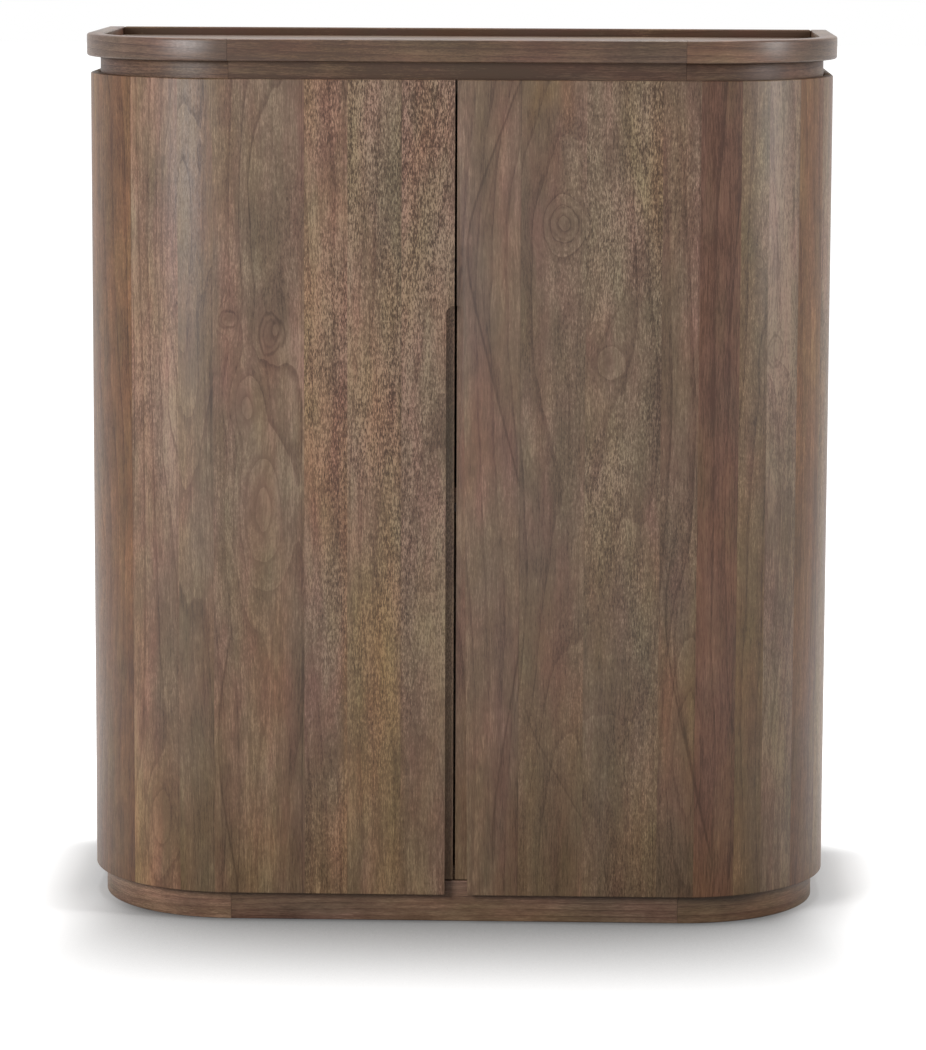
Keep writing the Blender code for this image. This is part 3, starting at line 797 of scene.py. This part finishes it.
def fibre_and_pores(finish, place, fibre_place, pores):
    """What fibre and pores add to the tone, then the streak, fibre and fleck for the relief."""
    streak, fibre, hair, fleck = (
        wood_noise(finish, name, fibre_place) for name in ("streak", "fibre", "hair", "fleck"))
    open_area = wood_noise(finish, "open", place).between(0.36, 0.62)
    ripple = wood_noise(finish, "ripple", place)
    busy = pores * (open_area * 0.70 + 0.30)
    grain = (streak - 0.5) * 0.42 + (fibre - 0.5) * 0.42 + (hair - 0.5) * 0.70
    pore = (fleck - 0.5) * (busy * 2.7 + 0.2) + (ripple - 0.5) * (busy * 0.45)
    return grain + pore, streak, fibre, fleck


def stave_character(finish, kind, across, own):
    """A stave's tone, hue, ochre and pores, and a number that tells it from the others."""
    if kind == "door":
        looks = door_stave(finish, across, [row[1:] for row in DOOR_STAVES])
        seeds = [(index * 0.618 % 1.0, 0.0, 0.0, 1.0) for index in range(len(DOOR_STAVES))]
        return (*looks, door_stave(finish, across, seeds)[0] * 40.0)
    if kind == "board":
        tone, hue, warm, pores = board_stave(finish, across)
        return tone, hue, warm, pores, tone * 31.0 + hue * 17.0
    return own * 0.16 + 0.42, own * 0.30 + 0.50, own * 0.25 + 0.25, own * 0.15 + 0.05, own * 9.0


print("rings to a metre into a board:", RINGS_INTO_BOARD)

# %% Tints and marks
# Faces marked outer on the rim's back rail are lifted by this much out of its painted shade.
OUTER_LIGHTER = 0.28


def tinted(finish, colour, lean, warm):
    """The colour leant to olive or pink, and to ochre."""
    colour = finish.mix((0.5 - lean).clamp() * 1.9, colour, OLIVE, "MULTIPLY")
    colour = finish.mix((lean - 0.5).clamp() * 1.7, colour, PINK, "MULTIPLY")
    return finish.mix(warm.clamp(), colour, OCHRE, "MULTIPLY")


def wood_finish(name, kind, shade=0.0, figure=1.0, gloss=0.0, pace=34.0):
    """Stained wood that reads the piece's grain, tone, arris and outer attributes."""
    finish = Finish(name)
    grain = finish.add("ShaderNodeAttribute", {"attribute_name": "grain"}, {})["Vector"]
    own, arris, outer = (
        finish.add("ShaderNodeAttribute", {"attribute_name": key}, {})["Fac"]
        for key in ("tone", "arris", "outer"))
    across, depth, along = finish.split(grain)
    tone, hue, warm, pores, seed = stave_character(finish, kind, across, own)
    place = fibre_place = (across + seed * 0.23, depth, along + seed * 0.41)
    wobble = wood_noise(finish, "wobble", place)
    swell = None
    if kind == "door":
        ragged = wood_noise(finish, "ragged", place)
        swell, dark, bend, calm = knots_and_flames(across, along, wobble, ragged)
        dark = long_lines(across, along, wobble) + dark
        fibre_place = (place[0] + bend, depth, place[2])
        more_tone, more_hue, more_warm = colour_patches(across, along, ragged)
        height_share = along.between(0.0, 0.75)
        near_foot = 1.0 - height_share
        # Painted shade: the tone drops a little towards the door's foot.
        tone = tone + more_tone - near_foot * 0.04
        hue = hue + more_hue
        warm = warm + more_warm + near_foot * 0.30
        pores = pores * (height_share * 0.75 + 0.55)
        figure = (height_share * 0.45 + 0.55) * figure

    late, lines = growth_rings(finish, place, pace, wobble, swell, pores)
    texture, streak, fibre, fleck = fibre_and_pores(finish, place, fibre_place, pores)
    patch, mottle, cloud, blush = (
        wood_noise(finish, key, place) for key in ("patch", "mottle", "cloud", "blush"))
    marks = lines * (figure * 0.58)
    if kind == "door":
        texture = texture * (1.0 - calm.clamp() * 0.65)
        marks = marks + dark * 0.85
    marks = marks.clamp()

    drift = (patch - 0.5) * 0.95 + (mottle - 0.5) * 0.62
    tone = tone + shade if shade else tone
    # outer lifts the rim's back rail out of its painted shade on the faces away from the tray.
    light = tone + outer * OUTER_LIGHTER + drift + late * (figure * -0.18) + texture
    light = light.clamp()
    colour = finish.mix(light * 2.0 - 1.0, finish.mix(light * 2.0, DARK, MIDDLE), LIGHT)
    lean = hue + (blush - 0.5) * 1.9 + late * (figure * 0.12)
    colour = tinted(finish, colour, lean, warm + (cloud - 0.55) * 1.6)
    colour = finish.mix(marks * 0.80, colour, GROWTH, "MULTIPLY")
    if kind != "rail":
        colour = finish.mix(glue_lines(finish, across, kind) * 0.45, colour, GLUE, "MULTIPLY")
    # The arris is paler: stain rubbed back, and a painted highlight along the edge.
    finish.out("Base Color", finish.mix(arris * 0.55, colour, WORN_AND_SHEEN, "MULTIPLY"))

    finish.out("Specular IOR Level", 0.32 + gloss)
    rough = (0.46 - gloss) + (fleck - 0.5) * -0.20 + (patch - 0.5) * 0.20 + marks * 0.05
    finish.out("Roughness", rough)
    finish.relief(fleck * 0.5 + fibre * 0.35 + streak * 0.25 - marks * 0.15, 0.30, 0.0005)
    return finish.material


# %% [markdown]
# The doors have the full figure, and the boards a quieter one. The tray floor is a little darker
# than the boards, as painted shade of the sunken tray. The rim is darker and glossier than the
# doors. The neck is darker still, partly its own tone and partly painted shade under the rim. The
# plinth is plain. The rim's back rail is dull and darker, as painted shade where its front faces the
# tray; its other faces are lifted back to the rim's tone.

# %% The woods
door_wood = wood_finish("door_wood", "door", gloss=0.03)
board_wood = wood_finish("board_wood", "board", figure=0.8)
# Painted shade: the sunken tray's floor is a little darker than the other boards.
tray_wood = wood_finish("tray_wood", "board", shade=-0.14, figure=0.8, gloss=0.04)
rim_wood = wood_finish("rim_wood", "rail", shade=-0.34, gloss=0.10, pace=90.0)
# Painted shade: the back rail is darker where it faces the tray.
recess_wood = wood_finish("recess_wood", "rail", shade=-0.62, gloss=-0.16, pace=90.0)
# Darker than the rim: partly its own tone, partly painted shade under the rim.
neck_wood = wood_finish("neck_wood", "rail", shade=-0.40, pace=90.0)
plinth_wood = wood_finish("plinth_wood", "rail", gloss=0.04, pace=90.0)
inner_wood = wood_finish("inner_rail_wood", "rail", shade=0.02, figure=0.8)
print("nodes in the doors' wood:", len(door_wood.node_tree.nodes))

# %% [markdown]
# ## Metal and plastic
#
# The hinges are nickel-plated steel, brushed along their length, and the catch is brown
# moulded plastic. Both get a fine, quiet texture on their object coordinates.

# %% Steel and plastic
STEEL_DARK = (0.36, 0.35, 0.33, 1.0)
STEEL_PALE = (0.50, 0.49, 0.46, 1.0)
PLASTIC_DARK = tint(44, 33, 27)
PLASTIC_PALE = tint(58, 45, 37)


def object_noise(finish, across, along, detail):
    """Noise on the object's own coordinates, with its cells to a metre sideways and upwards."""
    x, y, z = finish.split(finish.add("ShaderNodeTexCoord", {}, {})["Object"])
    return finish.noise(finish.join(x * across, y * across, z * along), detail)


def steel_finish(name):
    """Satin nickel with fine brushing."""
    finish = Finish(name)
    brush = object_noise(finish, 2500.0, 60.0, 2.0)
    tarnish = object_noise(finish, 60.0, 60.0, 3.0)
    finish.out("Base Color", finish.mix(tarnish, STEEL_DARK, STEEL_PALE))
    finish.out("Metallic", 1.0)
    finish.out("Roughness", 0.34 + brush * 0.16)
    finish.relief(brush, 0.15, 0.0002)
    return finish.material


def plastic_finish(name):
    """Brown moulded plastic with a faint grain."""
    finish = Finish(name)
    grain = object_noise(finish, 1800.0, 1800.0, 2.0)
    finish.out("Base Color", finish.mix(grain, PLASTIC_DARK, PLASTIC_PALE))
    finish.out("Roughness", 0.45 + grain * 0.15)
    finish.relief(grain, 0.2, 0.0002)
    return finish.material


nickel = steel_finish("nickel_steel")
plastic = plastic_finish("brown_plastic")
print("small finishes:", nickel.name, plastic.name)

# %% [markdown]
# ## Dress the wooden pieces
#
# Every wooden node gets a soft-edged copy. Its name says which way its grain runs, how much
# its edges are rounded and which wood it takes. A shift of its own takes each board to
# another place in the wood, so no two boards look alike.

# %% Which grain, edge and wood each node takes
RINGS = {"rim": rim_wood, "neck": neck_wood, "plinth": plinth_wood}
FINE_EDGE = 0.0006
SHELF_EDGE = 0.0008
BOARD_EDGE = 0.0010


def ring_of(node):
    """The ring that a node is part of: rim, neck, plinth or none."""
    return next((ring for ring in RINGS if ring in node.split("_")), None)


def wood_plan(node):
    """(grain direction, edge radius, wood) of a wooden node."""
    if node.endswith("_door") or node.endswith("_side_panel"):
        return upright, BOARD_EDGE, door_wood
    if node.startswith("rack_"):
        return lengthwise, SHELF_EDGE, inner_wood
    if node.startswith("glass_rail") or node.endswith("_cleat"):
        return front_to_back, FINE_EDGE, inner_wood
    if node == "rim_back_rail":
        return round_the_plan, FINE_EDGE, recess_wood
    if ring_of(node):
        return round_the_plan, FINE_EDGE, RINGS[ring_of(node)]
    if node in ("divider", "back_panel"):
        return plain_upright, SHELF_EDGE, board_wood
    return lengthwise, BOARD_EDGE, tray_wood if node == "tray_floor" else board_wood


print("the tray floor is", wood_plan("tray_floor")[2].name)

# %% [markdown]
# The rings' butt joints show as thin tight lines in the photograph, so their edges aren't rounded.
# The back rail of the rim is marked where it doesn't look into the tray, so that only its face
# towards the tray keeps its painted shade.

# %% Dress the wood
JOINT_REACH = 0.001
SHIFT_STEP = Vector((0.37, 0.11, 0.53))
TONE_STEP = 0.381
FACES_FRONT = -0.7


def off_the_joints(edge):
    """False for an edge on a ring's butt joint, which stays tight."""
    ends = [vert.co for vert in edge.verts]
    at_front = all(abs(abs(end.x) - CORNER_X) < JOINT_REACH for end in ends)
    at_side = all(abs(end.y - CORNER_Y) < JOINT_REACH for end in ends)
    return not (at_front or at_side)


def mark_outer_faces(bm):
    """Mark the faces of the rim's back rail that don't look into the tray, which are lifted out of
    its painted shade.
    """
    outer = bm.faces.layers.float.new("outer")
    for face in bm.faces:
        face[outer] = 0.0 if face.normal.y < FACES_FRONT else 1.0


def dress_wood(node, number):
    """Replace a wooden node by its soft-edged copy."""
    grain, width, wood = wood_plan(node)
    bm = merged_copy(node)
    bevel_edges(bm, sharp_edges(bm, off_the_joints if ring_of(node) else None), width)
    # Only the rail's face towards the tray keeps the painted shade.
    if node == "rim_back_rail":
        mark_outer_faces(bm)
    piece = finish_mesh(node, "_wood", bm, wood)
    points = piece.data.vertices
    shift = SHIFT_STEP * (0 if wood is door_wood else number)
    places = [Vector(grain(point.co)) + shift for point in points]
    store_on_points(piece.data, "grain", "FLOAT_VECTOR", "vector", [v for p in places for v in p])
    tones = [number * TONE_STEP % 1.0] * len(points)
    store_on_points(piece.data, "tone", "FLOAT", "value", tones)


wooden = 0
for number, node in enumerate(sorted(frame["nodes"])):
    if slot_of(node).endswith("_wood"):
        dress_wood(node, number)
        wooden += 1
print("wooden pieces dressed:", wooden)

# %% [markdown]
# ## Hinges and catch
#
# The metal pieces keep their machined edges apart from a narrow bevel. A hinge cup is held
# by a countersunk screw at each end. The cross in its head is cut by slicing the top face
# into strips and pushing the strips of the cross down.

# %% A cross-head screw
SCREW_RADIUS = 0.0030
SCREW_TAPER = 0.92
SCREW_PROUD = 0.0003
SCREW_SUNK = 0.0012
CROSS_HALF_WIDTH = 0.00045
CROSS_REACH = 0.0017
CROSS_DEPTH = 0.0009


def in_the_cross(face):
    """Whether a face is part of the cross on the screw's top."""
    spot = face.calc_center_median()
    across, along = sorted((abs(spot.x), abs(spot.y)))
    return face.normal.z > 0.9 and across < CROSS_HALF_WIDTH and along < CROSS_REACH


def screw_head():
    """A bmesh of a screw head that faces up, centred on the origin."""
    head = bmesh.new()
    bmesh.ops.create_cone(
        head, cap_ends=True, segments=24, radius1=SCREW_RADIUS,
        radius2=SCREW_RADIUS * SCREW_TAPER, depth=SCREW_PROUD + SCREW_SUNK)
    for offset in (-CROSS_REACH, -CROSS_HALF_WIDTH, CROSS_HALF_WIDTH, CROSS_REACH):
        for normal in ((1, 0, 0), (0, 1, 0)):
            everything = head.verts[:] + head.edges[:] + head.faces[:]
            spot = Vector(normal) * offset
            bmesh.ops.bisect_plane(head, geom=everything, plane_co=spot, plane_no=normal)
    cross = [face for face in head.faces if in_the_cross(face)]
    pushed = bmesh.ops.extrude_face_region(head, geom=cross)["geom"]
    floor_points = [item for item in pushed if isinstance(item, bmesh.types.BMVert)]
    bmesh.ops.translate(head, verts=floor_points, vec=(0, 0, -CROSS_DEPTH))
    bmesh.ops.recalc_face_normals(head, faces=head.faces)
    return head


def add_screw(bm, middle, turn):
    """Add a screw head to a bmesh, turned from facing up, and centred on a plate's face."""
    head = screw_head()
    rise = Matrix.Translation((0, 0, (SCREW_PROUD - SCREW_SUNK) / 2))
    place = Matrix.Translation(middle) @ turn @ rise
    bmesh.ops.transform(head, matrix=place, verts=head.verts)
    carrier = bpy.data.meshes.new("screw")
    head.to_mesh(carrier)
    head.free()
    bm.from_mesh(carrier)
    bpy.data.meshes.remove(carrier)


print("screw head:", SCREW_RADIUS * 2000, "mm across")

# %% [markdown]
# A cup in a side panel shows its plate towards the front, and a cup in a door shows its
# plate towards the side panel, so the screws turn to face the one way or the other.

# %% Dress the metal and plastic
SCREW_INSET = 0.0060
METAL_EDGE = 0.0003
PLASTIC_EDGE = 0.0010


def add_cup_screws(bm, node):
    """Add the two screws that hold a hinge cup."""
    low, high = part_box(node)
    in_the_panel = "_side_cup_" in node
    face_y = low.y if in_the_panel else high.y
    turn = Matrix.Rotation(math.pi / 2 if in_the_panel else -math.pi / 2, 4, "X")
    for height in (low.z + SCREW_INSET, high.z - SCREW_INSET):
        add_screw(bm, Vector(((low.x + high.x) / 2, face_y, height)), turn)


def dress_small(node, width, material):
    """Replace a small fitting by its soft-edged copy."""
    bm = merged_copy(node)
    bevel_edges(bm, sharp_edges(bm), width)
    if "_cup_" in node:
        add_cup_screws(bm, node)
    finish_mesh(node, "_fitting", bm, material)


fittings = 0
for node in sorted(frame["nodes"]):
    if slot_of(node) == "nickel_steel":
        dress_small(node, METAL_EDGE, nickel)
        fittings += 1
    elif slot_of(node) == "brown_plastic":
        dress_small(node, PLASTIC_EDGE, plastic)
        fittings += 1
print("fittings dressed:", fittings)

# %% [markdown]
# ## The studio floor
#
# The photograph has a white ground with a soft shadow close round the foot. The floor is
# pale, and two things are added to it: ambient occlusion darkens it near the cabinet, and a
# glow that grows with the distance from the plan turns it white. Both look at the plan's
# rounded outline. The shadow reaches further to the front than to the sides.

# %% Where a spot of the floor lies
FLOOR_PALE = (0.88, 0.88, 0.88, 1.0)
FLOOR_PLAIN = (0.09, 0.09, 0.09, 1.0)
BLACK = (0.0, 0.0, 0.0, 1.0)
WHITE = (1.0, 1.0, 1.0, 1.0)
FLOOR_HALF_SIZE = 30.0
CONTACT_REACH = 0.35
CONTACT_POWER = 1.45
LEAST_GLOW = (0.04, 0.04, 0.04, 1.0)


def round_the_foot(floor):
    """How far a spot is off the plan and behind it, how sideways it lies, and if close beside."""
    x, y = floor.split(floor.add("ShaderNodeTexCoord", {}, {})["Object"])[:2]
    past = (x.then("ABSOLUTE") - CORNER_X).then("MAXIMUM", 0.0)
    ahead = (CORNER_Y - y).then("MAXIMUM", 0.0)
    behind = (y - cad_high.y).then("MAXIMUM", 0.0)
    reach = (past * past + ahead * ahead + 0.000001).then("SQRT")
    away = (reach - CORNER_RADIUS).then("MAXIMUM", 0.0)
    aside = past / reach
    sideways = aside.then("POWER", 3.0)
    beside = aside.between(0.45, 0.95) * past.between(0.10, 0.20)
    return away, behind, sideways, beside


def contact_shade(floor, away, sideways, beside):
    """The colour of the floor, black where the cabinet stands close over it."""
    occlusion = floor.add(
        "ShaderNodeAmbientOcclusion", {"samples": 8}, {"Distance": CONTACT_REACH})["AO"]
    fade = 1.0 - (away * sideways * 26.0).clamp()
    contact = (1.0 - occlusion.then("POWER", CONTACT_POWER)) * fade * (1.0 - beside * 0.60)
    return floor.mix(contact, FLOOR_PALE, BLACK)


def floor_glow(floor, away, behind, sideways, beside):
    """The colour that the floor gives off, white at some distance from the cabinet."""
    near = (away * (sideways * 5.0 + 0.42) + behind * 7.0).between(0.05, 0.55) * 0.45 + beside * 0.15
    far = (away + behind * 3.0).between(0.45, 1.30) * 0.60
    return floor.mix((near + far).clamp(), LEAST_GLOW, WHITE)


print("contact shadow reaches", CONTACT_REACH, "m")

# %% [markdown]
# The glow is for the camera and for reflections only. To all other light the floor is a
# plain dark grey, so that it doesn't colour or brighten the wood.

# %% The floor
def seen_by_eye(nodes):
    """1 for camera, glossy and transmission rays, which see a white studio."""
    path = nodes.add("ShaderNodeLightPath", {}, {})
    seen = path["Is Camera Ray"].then("MAXIMUM", path["Is Glossy Ray"])
    return seen.then("MAXIMUM", path["Is Transmission Ray"])


def floor_finish(name):
    """A pale floor that keeps the cabinet's shadow, and is white further off."""
    finish = Finish(name)
    finish.tree.nodes.remove(finish.shader)
    away, behind, sideways, beside = round_the_foot(finish)
    pale = contact_shade(finish, away, sideways, beside)
    glow = floor_glow(finish, away, behind, sideways, beside)
    lit = finish.add("ShaderNodeBsdfDiffuse", {}, {"Color": pale})[0]
    shining = finish.add("ShaderNodeEmission", {}, {"Color": glow})[0]
    plain = finish.add("ShaderNodeBsdfDiffuse", {}, {"Color": FLOOR_PLAIN})[0]
    both = finish.add("ShaderNodeAddShader", {}, {0: lit, 1: shining})[0]
    shown = finish.add("ShaderNodeMixShader", {}, {0: seen_by_eye(finish), 1: plain, 2: both})[0]
    finish.feed(finish.tree.nodes["Material Output"].inputs["Surface"], shown)
    return finish.material


def make_floor():
    """The studio floor, which is no part of the cabinet."""
    bm = bmesh.new()
    bmesh.ops.create_grid(bm, x_segments=2, y_segments=2, size=FLOOR_HALF_SIZE)
    mesh = bpy.data.meshes.new("studio_floor")
    bm.to_mesh(mesh)
    bm.free()
    mesh.materials.append(floor_finish("studio_floor"))
    floor = bpy.data.objects.new("studio_floor", mesh)
    bpy.context.scene.collection.objects.link(floor)
    return floor


print("floor:", make_floor().name)

# %% [markdown]
# ## The surround
#
# The world is white to the camera and in reflections, as the photograph's background is. Its
# light on the cabinet is weaker, so that the lamps shape it.

# %% The surround
WORLD_LIGHT = 0.22


def make_surround():
    """A white world to the camera and to reflections, a grey one to the rest."""
    world = bpy.data.worlds.new("surround")
    world.use_nodes = True
    bpy.context.scene.world = world
    nodes = Nodes(world.node_tree)
    background = world.node_tree.nodes["Background"]
    background.inputs["Color"].default_value = WHITE
    background.inputs["Strength"].default_value = 1.0
    white = Wire(nodes, background.outputs[0])
    soft = nodes.add("ShaderNodeBackground", {}, {"Color": WHITE, "Strength": WORLD_LIGHT})[0]
    shown = nodes.add("ShaderNodeMixShader", {}, {0: seen_by_eye(nodes), 1: soft, 2: white})[0]
    nodes.feed(world.node_tree.nodes["World Output"].inputs["Surface"], shown)
    return world


print("world:", make_surround().name)

# %% [markdown]
# ## The lamps
#
# A large soft lamp stands at the left, a narrow one at the right, and a wide one hangs
# above. Their reflections draw the bright bands down the two rounded corners.

# %% The lamps
def soft_lamp(name, place, target, width, height, watts):
    """A rectangular soft lamp turned to a target."""
    data = bpy.data.lights.new(name, "AREA")
    data.shape = "RECTANGLE"
    data.size = width
    data.size_y = height
    data.energy = watts
    lamp = bpy.data.objects.new(name, data)
    bpy.context.scene.collection.objects.link(lamp)
    lamp.location = place
    look = Vector(target) - Vector(place)
    lamp.rotation_euler = look.to_track_quat("-Z", "Y").to_euler()


soft_lamp("front_soft_lamp", (-2.1, -2.6, 1.45), (0.0, 0.0, 0.65), 1.2, 1.1, 77)
soft_lamp("right_soft_lamp", (2.5, -0.9, 1.6), (0.35, 0.0, 0.9), 0.42, 1.5, 34)
soft_lamp("top_soft_lamp", (0.0, 0.075, 3.3), (0.0, 0.075, 0.0), 1.7, 0.9, 58)
bpy.context.scene.view_settings.view_transform = "Standard"
